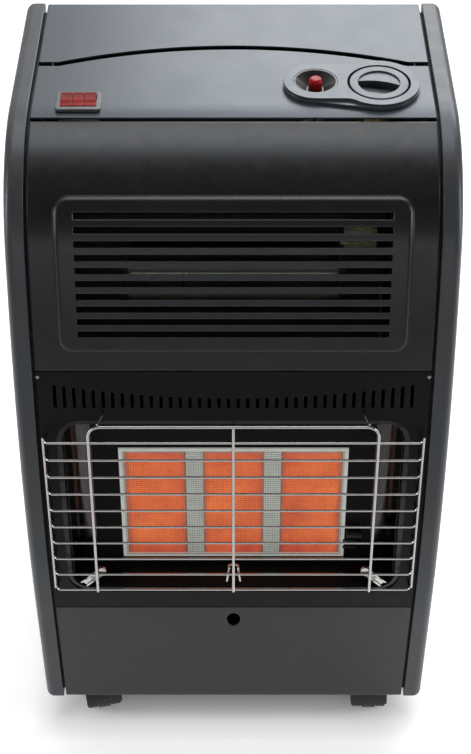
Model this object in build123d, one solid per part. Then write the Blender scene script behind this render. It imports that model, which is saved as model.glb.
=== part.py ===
from build123d import *
import math
import os

# A cabinet gas heater on castors, with three ceramic gas burners below and a quartz electric element
# above. Millimetres. X runs to the right, Y to the back and Z up; the origin lies on the floor, below
# the middle of the whole heater.

# ---------------------------------------------------------------- cabinet
cabinet_width = 430.0
body_height = 678.0
body_depth = 388.0
ride_height = 47.0
front_radius = 1250.0  # the bowed front, seen from the side
belly_height = 160.0  # where the bow starts above an upright foot, above the body's underside
top_corner_radius = 130.0
bottom_corner_radius = 6.0
back_corner_radius = 5.0
least_corner_radius = 1.0
running_gap = 0.3  # between neighbouring pieces that only lie close together

side_thickness = 19.5
side_wall = 2.5
side_edge_radius = 8.5
side_inner_radius = 1.0
side_return = 10.0  # inner lip of a side panel, on which the liner lies
liner_thickness = 1.2
liner_stand = 2.4  # depth of the liner's rim, which keeps the panels off the side panel
liner_inset = 8.0

panel_inset = 1.0
panel_sheet = 1.8
panel_flange = 12.0
panel_round = 1.2  # of the panels' long side edges
seam_gap = 1.4

fascia_start = 177.4  # behind the cabinet's front line
fascia_seam = 5.4
groove_start = 264.8
groove_radius = 497.0
groove_bulge = 30.6
groove_width = 7.6
lid_lip = 36.0
upper_panel_height = 204.0  # from the upper seam to the body's top
foot_return = 26.0  # how far the lowest front panel runs back below the cabinet

# ---------------------------------------------------------------- louvred upper front
plateau_side = 47.0  # from the cabinet's side
plateau_sill = 21.0  # above the upper seam
plateau_head = 41.0  # below the body's top
plateau_rise = 6.5
plateau_rim = 5.5
plateau_corner = 15.0
slot_side = 19.2  # from the plateau's side
slot_height = 6.6
slot_pitch = 12.85
slot_count = 10
slot_first = 20.4  # middle of the lowest slot above the plateau's lower edge

# ---------------------------------------------------------------- fire opening
opening_side = 39.0  # from the cabinet's side
opening_height = 231.6
opening_sill = 25.2  # above the lower seam
opening_corner = 25.0
trim_lip = 5.0
trim_cover = 6.0
trim_sheet = 1.0
trim_depth = 14.0
housing_depth = 47.0
housing_sheet = 1.0
housing_front = 9.0
reflector_lean = 29.5  # how much narrower the opening is at its back
reflector_bow = 6.0
reflector_sheet = 0.8

vent_count = 38
vent_side = 18.0  # from the outermost vent's middle to the panel's side
vent_width = 3.6
vent_gap = 13.2  # between the opening and the vents
vent_head = 15.0  # between the longest vents and the upper seam
vent_short = 10.5
vent_long = 25.0

key_hole_drop = 21.5  # below the lower seam
key_hole_width = 14.7
key_hole_tall = 21.6

# ---------------------------------------------------------------- burner
burner_side = 57.0  # from the opening's side
burner_sill = 16.95  # above the opening's lower edge
burner_sheet = 2.0
window_height = 141.0
window_frame = (5.5, 4.15)  # the frame's borders, beside and above the windows
window_strip = 17.5
burner_names = ("left", "centre", "right")
plaque_overlap = (2.7, 3.7)  # beyond the window, sideways and upwards
plaque_thickness = 13.0
plenum_wall = 1.0
plenum_depth = 28.0
venturi_diameter = 20.0
venturi_reach = 48.0
air_gap = 5.0
injector_diameter = 10.0
injector_length = 12.0
manifold_diameter = 14.0
manifold_end = 18.5  # beyond the left burner's middle
manifold_stub = 25.0  # from the manifold's right end to the supply pipe
pilot_gap = 14.0  # beside the burner frame
pilot_rise = 36.85  # above the burner frame's lower edge
pilot_step = 9.0
pilot_hole = 8.6
pilot_tube = 8.0
pilot_stand = 9.0
pilot_hood = 16.0
pilot_block = 8.0
boss_rise = 9.0
jet_diameter = 1.0

# ---------------------------------------------------------------- wire guard
guard_stand = 8.9
guard_spread = 10.0  # beyond the opening's side
guard_count = 10
guard_pitch = 22.0
guard_centre = 1.0
crossbar_diameter = 2.5
guard_wire_diameter = 3.0
guard_leg = 25.0
guard_bend = 4.0
guard_frame_inset = 43.0  # from the crossbars' ends
guard_frame_bend = 12.5
wire_hole = 3.4
touch = 0.02
side_upright_stand = 3.0
hook_head = 10.0  # inside the outer wire's upright
hook_foot = (14.0, 11.2)  # inside that upright, and above the opening
hook_reach = 16.0
hook_bend = 3.0
clip_half = 6.9
clip_height = 17.0
clip_over = 5.3  # above the second crossbar
clip_bend = 2.6
clip_lean = 2.1
clip_reach = 6.5  # how far the clip's head bends back
strap_head = (38.0, 42.5)  # from the opening's side and its lower edge
strap_foot = (17.5, 18.5)
strap_dip = 6.0
strap_width = 9.0
strap_lip = 3.5
strap_sheet = 1.5

# ---------------------------------------------------------------- controls
bezel_level = 3.0
bezel_gap = 1.9
button_inset = (135.6, 228.9)  # from the cabinet's right side, and behind its front line
knob_inset = (74.3, 226.3)
button_lobe = 31.6
knob_lobe = 40.0
waist_round = 16.0
cup_hole_diameter = 43.0
knob_diameter = 57.6
knob_height = 14.0
knob_recess_diameter = 41.0
knob_recess_depth = 10.5
knob_shelf_depth = 1.6
knob_travel = 7.0
knob_edge = 1.2
knob_boss = 3.0
knob_socket = 5.5
knob_wall_bow = 6.0
knob_wall_turn = 13.7
knob_wall_radius = 54.0
knob_wall_centre = (-9.1, -48.6)
spindle_diameter = 8.0
plunger_diameter = 12.0
valve_width = 36.0
valve_depth = 36.0
valve_height = 38.0
valve_drop = 21.5
plunger_length = 16.0
plunger_sink = 2.0
bridge_half = 34.5
nozzle_nut = 15.0
nozzle_nut_length = 12.0
nozzle_diameter = 8.0
nozzle_length = 46.0
nozzle_hole = 17.0
barb_count = 3
barb_pitch = 6.0
barb_rise = 1.0
bracket_sheet = 1.5
cup_wall = 1.5
cup_depth = 9.0
button_diameter = 13.4
button_length = 22.0
button_top = 8.0
button_travel = 6.0
igniter_diameter = 22.0
igniter_length = 38.0

switch_inset = (67.2, 199.3)  # from the cabinet's left side, and behind its front line
switch_width = 43.0
switch_depth = 30.5
switch_rise = 3.0
switch_corner = 3.5
rocker_names = ("left", "centre", "right")
rocker_width = 11.1
rocker_gap = 0.35
rocker_half = 9.2
rocker_lift = 4.4
rocker_dip = 1.5
rocker_drop = 5.5
rocker_tilt = 14.0
rocker_edge = 0.9
rocker_window = 21.6
pivot_rise = 1.2
collar_drop = 6.0
terminal_drop = 8.0
rocker_pin_diameter = 2.0
switch_body_height = 26.0
switch_wall = 1.5
switch_tab_width = 4.0
switch_tab_sheet = 0.8

# ---------------------------------------------------------------- electric element
element_lean = 19.0  # degrees
element_setback = 129.7
element_drop = 162.3  # below the body's top, as all the drops here
tube_pitch = 26.0
tube_diameter = 10.0
tube_wall = 1.0
reflector_setback = 16.0
trough_half = 26.3
trough_flat = 20.0
trough_rise = 14.0
trough_sheet = 0.6
trough_bend = 4.0
element_side = 111.0  # from the cabinet's side to the end plates, which the tubes and the trough meet
end_bracket_sheet = 1.2
end_bracket_top = ((112.0, 190.0), (130.0, 132.0), (157.0, 142.0))  # (setback, drop)
end_bracket_foot = (162.0, 120.0)
cap_reach = 7.0
cap_wall = 2.0
terminal_gap = 6.0  # from the end plate
terminal_width = 32.0
terminal_height = 27.0
terminal_block_drop = 121.0
terminal_depth = 16.0
terminal_count = 3
terminal_hole = 4.0
earth_setback = 149.0
earth_start_drop = 131.0
earth_loop_drop = 113.0
earth_reach = 34.0  # beyond the end plate
earth_bend = 6.0
earth_diameter = 4.0

# ---------------------------------------------------------------- inside
shield_sheet = 1.0
shield_setback = 100.0
shield_foot = 16.0
shield_shoulder_drop = 228.0
shield_step = (172.0, 158.0)  # (setback, drop)
shield_top_step = (172.0, 118.0)
shield_loft = (262.0, 66.0)
tray_sheet = 1.5
tray_flange = 22.0
tray_front = 28.5
tray_back = 15.0  # in front of the cabinet's back
seat_rise = 2.0  # the pressed platform for the bottle
seat_side = 54.0  # from the tray's side, clear of the castors' plates
seat_degrees = 45.0
seat_front = 6.0  # behind the shield
seat_back = 12.0
seat_corner = 20.0
pipe_diameter = 8.0
pilot_pipe_diameter = 4.0
lead_diameter = 3.0
pipe_bend = 8.0
supply_inset = 44.0  # from the side liner, as the insets that follow
pilot_inset = 26.0
thermocouple_inset = 17.0
ignition_inset = 8.0
lane_setback = 76.0
supply_setback = 88.0
lane_rise = 5.0  # above the shield's shoulder, where the pipes lean back
lane_knee = 128.0
lane_knee_drop = 162.0
lane_loft = 158.0
lane_loft_drop = 78.0
supply_loft_drop = 148.0
lead_bend = 5.0
lead_cross = 195.0
drain_rows = 3
drain_pitch = 60.0
drain_side = 90.0
drain_length = 70.0
drain_width = 8.0
screw_drop = 5.7  # below the upper seam
screw_inset = 2.6  # from the panel's side
screw_diameter = 3.6
screw_head = 1.6

# ---------------------------------------------------------------- rear cover
cover_sheet = 1.2
cover_flange = 12.0
cover_gap = 0.6
cover_low = 8.0
field_rise = 14.0
field_side = 65.0  # from the cabinet's side
field_low = 60.0
field_head = 78.0  # below the body's top
field_corner = 24.0
cover_slot_side = 32.0  # from the field's side
cover_slot_height = 5.0
cover_slot_pitch = 16.0
cover_slot_rows = 6

# ---------------------------------------------------------------- castors
wheel_diameter = 38.0
wheel_width = 12.4
wheel_inner = 7.4
hood_width = 41.0
hood_gap = 1.3
hood_wall = 2.2
web_half = 7.0
axle_diameter = 5.0
pin_clearance = 0.05
kingpin_diameter = 8.0
kingpin_length = 22.0
wheel_edge = 2.5
boss_diameter = 14.0
castor_trail = 15.0
castor_side = 57.0  # from the cabinet's side
castor_front = 47.0
castor_back = 47.0  # in front of the cabinet's back
castor_plate = 30.0
castor_plate_sheet = 2.5
castor_degrees = {"front_left": 12.0, "front_right": 0.0, "rear_left": -24.0, "rear_right": 14.0}

# ---------------------------------------------------------------- worked out from the sizes above
body_bottom = ride_height
body_top = ride_height + body_height
panel_half = cabinet_width / 2 - side_thickness - liner_stand - running_gap
opening_width = cabinet_width - 2 * opening_side
surround_height = opening_sill + opening_height + vent_gap + vent_long + vent_head
upper_seam = body_height - upper_panel_height  # heights above the body's underside
lower_seam = upper_seam - surround_height
fire_height = lower_seam + opening_sill + opening_height / 2
vent_base = fire_height + opening_height / 2 + vent_gap
vent_pitch = 2 * (panel_half - vent_side) / (vent_count - 1)
plateau_width = cabinet_width - 2 * plateau_side
plateau_low = upper_seam + plateau_sill
plateau_high = body_height - plateau_head
slot_length = plateau_width - 2 * slot_side
lean = math.asin((fire_height - belly_height) / front_radius)
fire_setback = front_radius * (1 - math.cos(lean))
guard_low = guard_centre - (guard_count - 1) / 2 * guard_pitch
guard_front = guard_stand + crossbar_diameter / 2 + touch + guard_wire_diameter
guard_half = opening_width / 2 + guard_spread
guard_frame_half = guard_half - guard_frame_inset
guard_reach = guard_front * math.cos(lean) - fire_setback - guard_low * math.sin(lean)
front_y = guard_reach - (guard_reach + body_depth + field_rise) / 2
back_y = front_y + body_depth
body_radius_line = body_height - top_corner_radius
corner_angle = math.asin((body_radius_line - belly_height) / (front_radius - top_corner_radius))
corner_setback = front_radius - (front_radius - top_corner_radius) * math.cos(corner_angle)
skin_top = body_top - panel_inset
skin_under = skin_top - panel_sheet
skin_low = body_bottom + panel_inset + panel_sheet
guard_frame_stand = guard_stand + (crossbar_diameter + guard_wire_diameter) / 2 + touch
burner_width = opening_width - 2 * burner_side
burner_height = window_height + 2 * window_frame[1]
burner_centre = burner_sill + (burner_height - opening_height) / 2  # from the opening's middle
window_width = (burner_width - 2 * window_frame[0] + window_strip) / len(burner_names) - window_strip
window_pitch = window_width + window_strip
plaque_width = window_width + 2 * plaque_overlap[0]
plaque_height = window_height + 2 * plaque_overlap[1]
pilot_side = burner_width / 2 + pilot_gap
pilot_up = burner_centre - burner_height / 2 + pilot_rise
supply_lane = panel_half - supply_inset
manifold_left = window_pitch + manifold_end
manifold_right = supply_lane - manifold_stub
element_half = cabinet_width / 2 - element_side
terminal_left = element_half + terminal_gap
field_width = cabinet_width - 2 * field_side
field_high = body_height - field_head
button_centre = (cabinet_width / 2 - button_inset[0], button_inset[1])
knob_centre = (cabinet_width / 2 - knob_inset[0], knob_inset[1])
switch_centre = (switch_inset[0] - cabinet_width / 2, switch_inset[1])


def behind(setback):
    return front_y + setback


def above(height):
    return body_bottom + height


def below(drop):
    return body_top - drop


def block(x0, x1, y0, y1, z0, z1):
    centre = Pos((x0 + x1) / 2, (y0 + y1) / 2, (z0 + z1) / 2)
    return centre * Box(x1 - x0, y1 - y0, z1 - z0)


def post(x, y, z0, z1, diameter):
    return Pos(x, y, (z0 + z1) / 2) * Cylinder(diameter / 2, z1 - z0)


def cabinet_outline(inset):
    """The cabinet seen from the side, drawn inside its outer line by inset, as (Y, Z)."""
    low = body_bottom + inset
    high = body_top - inset
    back = back_y - inset
    rise = math.asin((high - above(belly_height)) / (front_radius - inset))
    foot, middle, crest = (bow_point(rise * share, inset) for share in (0, 0.5, 1))
    sides = Polyline(crest, (back, high), (back, low), (front_y + inset, low), foot)
    face = make_face(ThreePointArc(foot, middle, crest) + sides)
    corners = (
        (crest, top_corner_radius),
        ((front_y, low), bottom_corner_radius),
        ((back, low), back_corner_radius),
        ((back, high), back_corner_radius),
    )
    for place, radius in corners:
        corner = face.vertices().sort_by_distance((*place, 0))[0]
        face = fillet(corner, max(radius - inset, least_corner_radius))
    return face


def bow_point(angle, inset):
    """A point of the bowed front, drawn inside it by inset, at an angle up from its foot, as (Y, Z)."""
    radius = front_radius - inset
    return behind(front_radius) - radius * math.cos(angle), above(belly_height) + radius * math.sin(angle)


def side_on(face, half_width):
    """A face drawn as (Y, Z), drawn out to both sides of the middle."""
    return extrude(Plane.YZ * face, amount=half_width, both=True)


def front_point(height):
    """Place and lean of the front surface at a height above the body's underside."""
    if height <= belly_height:
        return front_along(height - belly_height)
    tangent_height = belly_height + front_radius * math.sin(corner_angle)
    if height <= tangent_height:
        angle = math.asin((height - belly_height) / front_radius)
    else:
        angle = math.asin((height - body_radius_line) / top_corner_radius)
    return front_along(front_length(angle))


def front_length(angle):
    if angle <= corner_angle:
        return front_radius * angle
    return front_radius * corner_angle + top_corner_radius * (angle - corner_angle)


def front_along(length):
    """(Y, Z, lean, length) at a length up the front surface from the foot of its bow."""
    straight = front_radius * corner_angle
    if length <= 0:
        return front_y, above(belly_height) + length, 0.0, length
    if length <= straight:
        angle = length / front_radius
        y = behind(front_radius - front_radius * math.cos(angle))
        z = above(belly_height + front_radius * math.sin(angle))
    else:
        angle = corner_angle + (length - straight) / top_corner_radius
        y = behind(corner_setback) - top_corner_radius * math.cos(angle)
        z = above(body_radius_line + top_corner_radius * math.sin(angle))
    return y, z, angle, length


def front_plane(y, z, angle):
    """Plane that touches the front surface: its x is X, its y runs up the surface, its z outwards."""
    return Plane(origin=(0, y, z), x_dir=(1, 0, 0), z_dir=(0, -math.cos(angle), math.sin(angle)))


fire = front_plane(behind(fire_setback), above(fire_height), lean)


def fire_block(x0, x1, up0, up1, deep0, deep1):
    """A box in the leaning frame of the fire opening; depths count inwards."""
    return fire * block(x0, x1, up0, up1, -deep1, -deep0)


def rounded_prism(width, height, corner, deep0, deep1, up=0.0):
    """A rounded rectangle in the leaning frame, drawn from one depth to another."""
    face = Pos(0, up) * RectangleRounded(width, height, corner)
    return fire * Pos(0, 0, -deep1) * extrude(face, amount=deep1 - deep0)


def wire(points, diameter, bend):
    """A round wire or pipe of straight runs joined by bends."""
    path = FilletPolyline(*points, radius=bend) if len(points) > 2 else Line(*points)
    section = Plane(origin=path @ 0, z_dir=path % 0) * Circle(diameter / 2)
    return sweep(section, path=path)


def folded_sheet(points, thickness, bend, half_width):
    """Sheet metal folded along (Y, Z) points and drawn out across the cabinet."""
    path = FilletPolyline(*points, radius=bend)
    closed = path.wires()[0].offset_2d(thickness, kind=Kind.ARC, side=Side.LEFT, closed=True)
    return side_on(make_face(closed), half_width)


def skin(region):
    """The part of the cabinet's outer skin, with its side flanges, that lies in a region."""
    sheet_inset = panel_inset + panel_sheet
    inner = cabinet_outline(sheet_inset)
    sheet = skin_block() - side_on(inner, cabinet_width)
    flange_face = inner - cabinet_outline(sheet_inset + panel_flange)
    flange = side_on(flange_face, panel_half) - side_on(flange_face, panel_half - panel_sheet)
    return (sheet + flange) & region


def skin_block():
    """The whole space inside the outer skin's face, with the long side edges rounded."""
    whole = side_on(cabinet_outline(panel_inset), panel_half)
    ends = whole.faces().sort_by(Axis.X)
    return fillet(ends[0].edges() + ends[-1].edges(), panel_round)


def across(y0, y1, z0, z1, half=None):
    half = half or cabinet_width
    return block(-half, half, y0, y1, z0, z1)


# ---------------------------------------------------------------- outer pieces
def side_panel(side):
    """A side panel: a hollow tray with a rounded outer edge and a return lip round its open side."""
    inner_face = cabinet_width / 2 - side_thickness
    tray = Pos(inner_face, 0, 0) * extrude(Plane.YZ * cabinet_outline(0), amount=side_thickness)
    tray = fillet(tray.faces().sort_by(Axis.X)[-1].edges(), side_edge_radius)
    tray = fillet(tray.faces().sort_by(Axis.X)[0].edges(), side_inner_radius)
    hollow = Pos(inner_face + side_wall, 0, 0) * extrude(
        Plane.YZ * cabinet_outline(side_wall), amount=side_thickness - 2 * side_wall
    )
    hollow = fillet(hollow.faces().sort_by(Axis.X)[-1].edges(), side_edge_radius - side_wall)
    mouth = Pos(inner_face, 0, 0) * extrude(Plane.YZ * cabinet_outline(side_return), amount=side_wall)
    panel = tray - hollow - mouth
    return panel if side > 0 else mirror(panel, about=Plane.YZ)


def side_liners():
    """The shallow pan that closes each side panel and carries the front panels' flanges."""
    inner_face = cabinet_width / 2 - side_thickness
    liner = Pos(inner_face - liner_stand, 0, 0) * extrude(
        Plane.YZ * cabinet_outline(liner_inset), amount=liner_stand
    )
    liner -= Pos(inner_face - liner_stand + liner_thickness, 0, 0) * extrude(
        Plane.YZ * cabinet_outline(liner_inset + liner_thickness), amount=liner_stand
    )
    return [liner, mirror(liner, about=Plane.YZ)]


def groove_disc(radius):
    """The disc whose rim is the curved groove between the control fascia and the top lid."""
    centre = behind(groove_start + groove_bulge - groove_radius)
    return Pos(0, centre) * Circle(radius)


def control_fascia():
    width = 2 * cabinet_width
    start = behind(fascia_start)
    end = behind(groove_start)
    reach = groove_bulge + groove_width
    plan = Pos(0, (start + end) / 2) * Rectangle(width, end - start)
    plan += groove_disc(groove_radius) & (Pos(0, end + reach / 2) * Rectangle(width, reach))
    region = Pos(0, 0, body_top - lid_lip) * extrude(plan, amount=lid_lip + plateau_rise)
    fascia = skin(region)
    for (x, setback), diameter in (
        (button_centre, cup_hole_diameter),
        (knob_centre, knob_diameter + 2 * bezel_gap),
    ):
        fascia -= post(x, behind(setback), skin_under - panel_flange, body_top, diameter)
    x, setback = switch_centre
    half_x = rocker_block_width() / 2 + switch_wall
    half_y = rocker_window / 2 + switch_wall
    y = behind(setback)
    fascia -= block(x - half_x - running_gap, x + half_x + running_gap,
                    y - half_y - running_gap, y + half_y + running_gap,
                    skin_under - panel_flange, body_top)
    return fascia


def top_lid():
    width = 2 * cabinet_width
    start = behind(groove_start + groove_width)
    plan = Pos(0, (start + back_y) / 2) * Rectangle(width, back_y - start)
    plan -= groove_disc(groove_radius + groove_width)
    region = Pos(0, 0, body_top - lid_lip) * extrude(plan, amount=lid_lip)
    return skin(region)


def plateau(shrink):
    """The raised louvre field, or the hollow behind it when shrunk by the sheet."""
    low = front_length(front_point(plateau_low)[2]) + shrink
    high = front_length(front_point(plateau_high)[2]) - shrink
    reach = 4 * plateau_rise
    corners = []
    for length, way in ((low, -1), (low, 1), (high, 1), (high, -1)):
        y, z, angle, _ = front_along(length)
        corners.append((y - way * reach * math.cos(angle), z + way * reach * math.sin(angle)))
    wedge = make_face(Polyline(*corners, close=True))
    body = side_on(cabinet_outline(panel_inset + shrink - plateau_rise) & wedge, plateau_width / 2 - shrink)
    uprights = [edge for edge in body.edges().filter_by(GeomType.LINE)
                if abs(edge.tangent_at(0).X) < 0.5 and edge.length < 2 * reach]
    body = fillet(uprights, plateau_corner - shrink)
    fronts = [face for face in body.faces().filter_by(GeomType.CYLINDER)
              if face.radius > 2 * plateau_corner]
    edges = [edge for face in fronts for edge in face.edges()]
    rim = [edge for edge in edges if sum(edge.is_same(other) for other in edges) == 1]
    return fillet(rim, plateau_rim - shrink)


def upper_front_panel():
    low = above(upper_seam) + seam_gap / 2
    region = across(front_y - 2 * plateau_rise, behind(fascia_start) - fascia_seam, low, body_top, panel_half)
    sheet_inset = panel_inset + panel_sheet
    outer = skin_block() + plateau(0)
    inner = side_on(cabinet_outline(sheet_inset), panel_half) + plateau(panel_sheet)
    panel = ((outer - inner) & region) + skin(region)
    panel -= plateau(panel_sheet)
    start = front_point(plateau_low + slot_first)[3]
    for row in range(slot_count):
        y, z, angle, _ = front_along(start + row * slot_pitch)
        panel -= front_plane(y, z, angle) * Box(slot_length, slot_height, 4 * plateau_rise)
    return panel


def lower_surround():
    region = across(front_y - panel_flange, front_point(upper_seam)[0] + 2 * panel_flange,
                    above(lower_seam) + seam_gap / 2, above(upper_seam) - seam_gap / 2)
    panel = skin(region)
    through = 2 * opening_corner
    panel -= rounded_prism(opening_width, opening_height, opening_corner, -through, through)
    furthest = (vent_count - 1) / 2 * vent_pitch
    vent_back = front_point(vent_base + vent_long)[0] + panel_flange
    for place in range(vent_count):
        x = place * vent_pitch - furthest
        tall = vent_short + (vent_long - vent_short) * (x / furthest) ** 2
        panel -= block(x - vent_width / 2, x + vent_width / 2, front_y, vent_back,
                       above(vent_base), above(vent_base) + tall)
    holes = [(side * guard_half, up) for side in (-1, 1) for up in crossbar_heights()]
    holes += [(side * hook_place()[0], hook_place()[1]) for side in (-1, 1)]
    for x, up in holes:
        panel -= fire * Pos(x, up, 0) * Cylinder(wire_hole / 2, through)
    return panel


def lower_front_panel():
    region = across(front_y - panel_flange, behind(foot_return), body_bottom,
                    above(lower_seam) - seam_gap / 2)
    panel = skin(region)
    hole = Ellipse(key_hole_width / 2, key_hole_tall / 2)
    y, z, _, _ = front_point(lower_seam - key_hole_drop)
    panel -= Pos(0, y, z) * extrude(Plane.XZ * hole, amount=panel_flange, both=True)
    return panel


def panel_screws():
    """Round heads at the surround's top corners, lying on its face."""
    y, z, angle, _ = front_point(upper_seam - screw_drop)
    screws = []
    for side in (-1, 1):
        head = Cylinder(screw_diameter / 2, screw_head)
        head = Pos(side * (panel_half - screw_inset), 0, screw_head / 2 - panel_inset) * head
        head = fillet(head.faces().sort_by(Axis.Z)[-1].edges(), screw_head / 2)
        screws.append(front_plane(y, z, angle) * head)
    return screws


def base_tray():
    """The folded tray with a pressed platform for the gas bottle and drain slots for heavy gas."""
    low = skin_low + running_gap
    front, back = behind(tray_front), back_y - tray_back
    tray = across(front, back, low, low + tray_flange, panel_half)
    tray -= across(front + tray_sheet, back - tray_sheet, low + tray_sheet, low + tray_flange,
                   panel_half - tray_sheet)
    seat_start = behind(shield_setback + seat_front)
    seat_end = back - seat_back
    plan = RectangleRounded(2 * (panel_half - seat_side), seat_end - seat_start, seat_corner)
    seat = Pos(0, (seat_start + seat_end) / 2, low) * extrude(plan, amount=seat_rise, taper=seat_degrees)
    tray += Pos(0, 0, tray_sheet) * seat
    tray -= seat
    for side in (-1, 1):
        for row in range(drain_rows):
            y = behind(shield_setback) + (row + 1) * drain_pitch
            tray -= block(side * drain_side - drain_length / 2, side * drain_side + drain_length / 2,
                          y, y + drain_width, low, low + tray_sheet + seat_rise)
    return tray


def heat_shield():
    """The folded sheet between the burner and the bottle, stepping back above to clear the controls."""
    floor = skin_low + running_gap + tray_sheet
    points = [(behind(shield_setback - shield_foot), floor), (behind(shield_setback), floor)]
    for setback, drop in ((shield_setback, shield_shoulder_drop), shield_step, shield_top_step, shield_loft):
        points.append((behind(setback), below(drop)))
    points.append((behind(shield_loft[0]), skin_under - running_gap))
    shield = folded_sheet(points, shield_sheet, 3 * shield_sheet, panel_half - panel_sheet)
    x, z = valve_place()[0], nozzle_height()
    hole = Pos(x, behind(shield_loft[0]), z) * Rot(90, 0, 0) * Cylinder(nozzle_hole / 2, 4 * shield_sheet)
    return shield - hole


def shield_slope(setback):
    """Height of the upper face of the shield's first sloping run."""
    run = shield_step[0] - shield_setback
    rise = shield_shoulder_drop - shield_step[1]
    thickness = shield_sheet * math.hypot(run, rise) / run
    return below(shield_shoulder_drop) + (setback - shield_setback) * rise / run + thickness


def rear_cover():
    """The lift-off back: a tray with a raised vented field, its flanges running inside the liners."""
    half = panel_half - cover_gap + running_gap
    low = above(cover_low)
    high = body_top - lid_lip - cover_gap
    cover = across(back_y - cover_flange, back_y, low, high, half)
    cover = fillet(cover.edges().filter_by(Axis.Y), 3 * cover_sheet)
    cover -= across(back_y - cover_flange, back_y - cover_sheet, low + cover_sheet, high - cover_sheet,
                    half - cover_sheet)
    cover += rear_field(0)
    cover -= rear_field(cover_sheet)
    middle = above((field_low + field_high) / 2)
    slot_length = (field_width - cover_slot_pitch) / 2 - cover_slot_side
    for group in (-1, 1):
        centre = middle + group * (field_high - field_low) / 3
        for row in range(cover_slot_rows):
            z = centre + (row - (cover_slot_rows - 1) / 2) * cover_slot_pitch
            for side in (-1, 1):
                x = side * (slot_length + cover_slot_pitch) / 2
                slot = SlotOverall(slot_length, cover_slot_height)
                cover -= Pos(x, back_y, z) * extrude(Plane.XZ * slot, amount=2 * field_rise, both=True)
    return cover


def rear_field(shrink):
    """The rear cover's raised field, or the hollow inside it."""
    height = field_high - field_low
    face = RectangleRounded(field_width - 2 * shrink, height - 2 * shrink, field_corner - shrink)
    foot = back_y - cover_sheet
    rise = field_rise + cover_sheet - shrink
    place = Pos(0, foot, above((field_low + field_high) / 2))
    field = place * extrude(Plane.XZ * face, amount=-rise)
    return fillet(field.faces().sort_by(Axis.Y)[-1].edges(), field_rise / 2 - shrink)


# ---------------------------------------------------------------- fire opening
def mouth_size(grow=0.0):
    width = opening_width - 2 * trim_lip + 2 * grow
    height = opening_height - 2 * trim_lip + 2 * grow
    return width, height, opening_corner - trim_lip + grow


def opening_trim():
    """The bright rim round the fire opening: a lip behind the surround and a short wall inwards."""
    lip_inset = panel_inset + panel_sheet
    cover = 2 * trim_cover
    near = -2 * trim_cover
    ring = rounded_prism(opening_width + cover, opening_height + cover, opening_corner + trim_cover,
                         near, 2 * trim_depth)
    ring -= rounded_prism(*mouth_size(), near, 2 * trim_depth)
    lip_face = cabinet_outline(lip_inset) - cabinet_outline(lip_inset + trim_sheet)
    lip_band = side_on(lip_face, cabinet_width / 2)
    wall = rounded_prism(*mouth_size(trim_sheet), near, trim_depth)
    wall -= rounded_prism(*mouth_size(), near, 2 * trim_depth)
    wall &= side_on(cabinet_outline(lip_inset), cabinet_width / 2)
    return (ring & lip_band) + wall


def burner_housing():
    """The black folded sheet behind the opening: floor, back and ceiling, with three burner windows."""
    width, height, _ = mouth_size(-running_gap)
    half, reach = width / 2, height / 2
    housing = fire_block(-half, half, -reach, reach, housing_front, housing_depth)
    housing -= fire_block(-half, half, -reach + housing_sheet, reach - housing_sheet,
                          housing_front - housing_sheet, housing_depth - housing_sheet)
    throat = fire_block(-half, half, -reach, reach, housing_front, trim_depth + running_gap)
    housing -= throat - rounded_prism(*mouth_size(-running_gap), housing_front, trim_depth + running_gap)
    for x in window_places():
        housing -= fire_block(x - window_width / 2 - housing_sheet, x + window_width / 2 + housing_sheet,
                              burner_centre - window_height / 2 - housing_sheet,
                              burner_centre + window_height / 2 + housing_sheet,
                              housing_front, housing_depth)
    for step in range(3):
        housing -= fire * Pos(pilot_side, pilot_up - step * pilot_step, -housing_depth) * Cylinder(
            pilot_hole / 2, 4 * housing_sheet)
    return housing


def side_reflectors():
    """A polished concave cheek each side, between the housing's floor and ceiling."""
    width, height, _ = mouth_size(-running_gap)
    near = (width / 2 - reflector_sheet - running_gap, -trim_depth - 2 * running_gap)
    far = (opening_width / 2 - reflector_lean,
           -housing_depth + housing_sheet + running_gap + reflector_sheet)
    run = (far[0] - near[0], far[1] - near[1])
    span = math.hypot(*run)
    middle = ((near[0] + far[0]) / 2 - reflector_bow * run[1] / span,
              (near[1] + far[1]) / 2 + reflector_bow * run[0] / span)
    arc = ThreePointArc(near, middle, far)
    closed = arc.offset_2d(reflector_sheet, kind=Kind.ARC, side=Side.LEFT, closed=True)
    reach = height / 2 - housing_sheet - running_gap
    cheek = fire * extrude(Plane.XZ * make_face(closed), amount=reach, both=True)
    return [cheek, mirror(cheek, about=Plane.YZ)]


def window_places():
    middle = (len(burner_names) - 1) / 2
    return [(place - middle) * window_pitch for place in range(len(burner_names))]


def burner_frame():
    """The zinc frame in front of the plaques."""
    front = housing_depth - housing_sheet - burner_sheet
    low, high = burner_centre - burner_height / 2, burner_centre + burner_height / 2
    frame = fire_block(-burner_width / 2, burner_width / 2, low, high, front, front + burner_sheet)
    for x in window_places():
        window = fire_block(x - window_width / 2, x + window_width / 2,
                            burner_centre - window_height / 2, burner_centre + window_height / 2,
                            front - burner_sheet, front + 2 * burner_sheet)
        frame -= window
    return frame


def ceramic_plaque(x):
    front = housing_depth + running_gap
    return fire_block(x - plaque_width / 2, x + plaque_width / 2,
                      burner_centre - plaque_height / 2, burner_centre + plaque_height / 2,
                      front, front + plaque_thickness)


def venturi_depth():
    return housing_depth + plenum_depth / 2


def plenum_half():
    return (plaque_width / 2 + running_gap + plenum_wall, plaque_height / 2 + running_gap + plenum_wall)


def up_tube(x, up0, up1, depth, diameter):
    """A cylinder that runs up the leaning frame of the fire opening."""
    return fire * Pos(x, (up0 + up1) / 2, -depth) * Rot(90, 0, 0) * Cylinder(diameter / 2, up1 - up0)


def burner_plenums():
    """The sheet box behind each plaque, with the mixing tube that hangs below it."""
    return [burner_plenum(x) for x in window_places()]


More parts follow.
